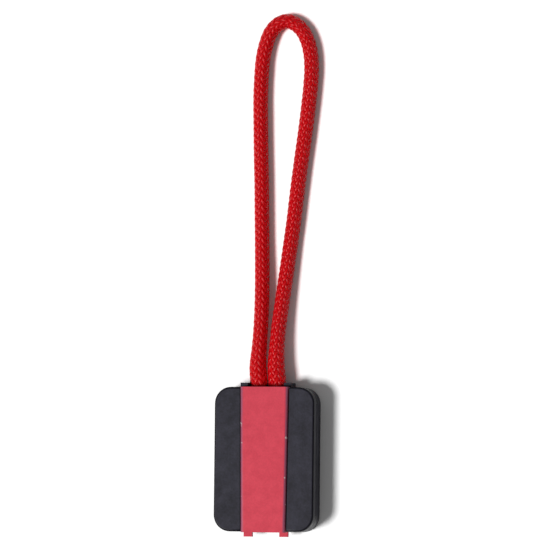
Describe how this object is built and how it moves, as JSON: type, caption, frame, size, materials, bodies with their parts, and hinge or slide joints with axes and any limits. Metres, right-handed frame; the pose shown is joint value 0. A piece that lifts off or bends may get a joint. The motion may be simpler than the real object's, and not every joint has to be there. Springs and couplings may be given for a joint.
{
  "type": "zip puller",
  "caption": "Zip puller with a braided cord loop whose tails are held in a flat rounded shell body by a sliding toothed strip with release tips at the foot.",
  "frame": {"origin": "centre of the body's footprint on the plane of its back face, without the cord", "axes": "+Z out of the front face, +Y along the body towards the cord loop, +X to the right seen from the front with the loop up"},
  "size_m": [0.0154, 0.0793, 0.0053],
  "materials": {
    "black_shell": "matte",
    "red_slide": "matte",
    "red_cord": "woven"
  },
  "bodies": {
    "housing": {"rear_shell": "black_shell", "front_shell": "black_shell", "cord": "red_cord"},
    "slide": {"locking_slide": "red_slide"}
  },
  "joints": [
    {"name": "slide_release", "type": "slide", "parent": "housing", "child": "slide", "axis": [0, 1, 0], "range_m": [0, 0.007]}
  ]
}
